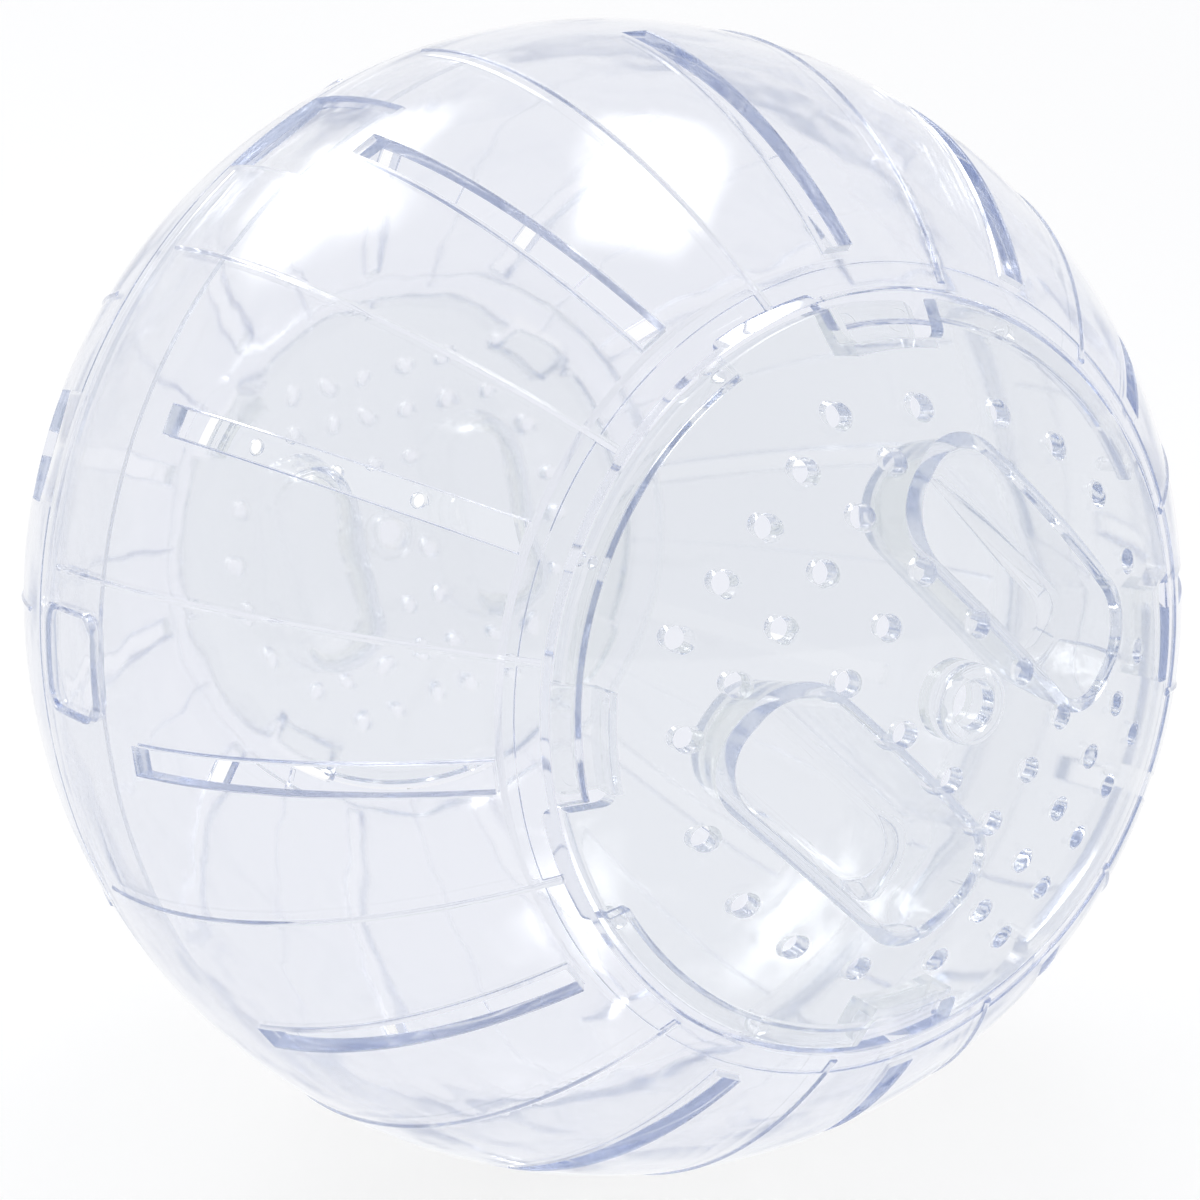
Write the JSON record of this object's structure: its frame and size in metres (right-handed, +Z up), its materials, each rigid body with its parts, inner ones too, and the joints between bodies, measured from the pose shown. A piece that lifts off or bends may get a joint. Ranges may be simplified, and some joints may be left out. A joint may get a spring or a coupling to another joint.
{
  "type": "hamster exercise ball",
  "caption": "Clear moulded ball in snapped half shells with ribs and air slots; dished twist-lock doors with finger grips, vent holes and an axle bore close both ends.",
  "frame": {"origin": "centre of the ball", "axes": "+Y along the common axis of the halves and doors, towards the rear door; the front door faces -Y; +Z up as the ball lies in the picture"},
  "size_m": [0.1782, 0.18, 0.1782],
  "materials": {
    "half_shell": "clear colourless polystyrene with a faint blue cast, polished",
    "door": "clear colourless polystyrene with a faint blue cast, polished"
  },
  "bodies": {
    "ball": {"front_half": "half_shell", "rear_half": "half_shell"},
    "front_door": {"front_door": "door"},
    "rear_door": {"rear_door": "door"}
  },
  "joints": [
    {"name": "front_door_twist", "type": "hinge", "parent": "ball", "child": "front_door", "pos_m": [0, 0, 0], "axis": [0, -1, 0], "range_deg": [-15, 18.5]},
    {"name": "rear_door_lift", "type": "slide", "parent": "ball", "child": "rear_door", "axis": [0, 1, 0], "range_m": [0, 0.06]}
  ]
}
